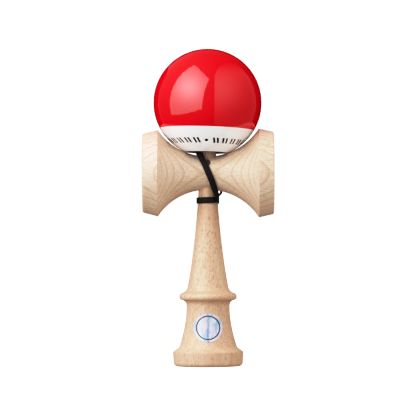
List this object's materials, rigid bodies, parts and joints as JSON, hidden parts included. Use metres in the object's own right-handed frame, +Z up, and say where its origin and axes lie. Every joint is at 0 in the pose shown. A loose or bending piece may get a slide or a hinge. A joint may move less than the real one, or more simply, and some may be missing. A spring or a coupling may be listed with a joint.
{
  "type": "kendama",
  "caption": "Wooden kendama: turned handle with spike, cross cup with two dishes, red lacquered ball with a white band, flat black cord.",
  "frame": {"origin": "middle of the ring that the handle stands on, on the table", "axes": "+Z up the handle to the spike, +X along the cross cup to the big cup, +Y away from the picture's camera"},
  "size_m": [0.0731, 0.06, 0.1762],
  "materials": {
    "handle_wood": "fine sanded beech with a thin clear seal",
    "cup_wood": "fine sanded pale beech with a thin clear seal",
    "ball_wood": "bare turned beech",
    "bead_wood": "bare turned beech",
    "red_lacquer": "high gloss lacquer",
    "white_lacquer": "gloss lacquer",
    "label_film": "pearly film",
    "cord_braid": "flat nylon braid"
  },
  "bodies": {
    "handle": {"handle": "handle_wood", "base_label": "label_film"},
    "cross_cup": {"cross_cup": "cup_wood", "cord_tie": "cord_braid", "cord_lead": "cord_braid"},
    "string_end": {"cord_coil": "cord_braid", "bead": "bead_wood", "end_knot": "cord_braid"},
    "ball": {"ball_core": "ball_wood", "red_coat": "red_lacquer", "white_band": "white_lacquer"}
  },
  "joints": [
    {"name": "cross_cup_slide", "type": "slide", "parent": "handle", "child": "cross_cup", "axis": [0, 0, 1], "range_m": [0, 0.07]},
    {"name": "ball_lift", "type": "slide", "parent": "cross_cup", "child": "string_end", "axis": [0, 0, 1], "range_m": [0, 0.05], "deforming": ["cord_lead"]},
    {"name": "ball_spin", "type": "hinge", "parent": "string_end", "child": "ball", "pos_m": [0, 0, 0.14624], "axis": [0.0296, 0.0488, 0.9984], "continuous": true}
  ]
}
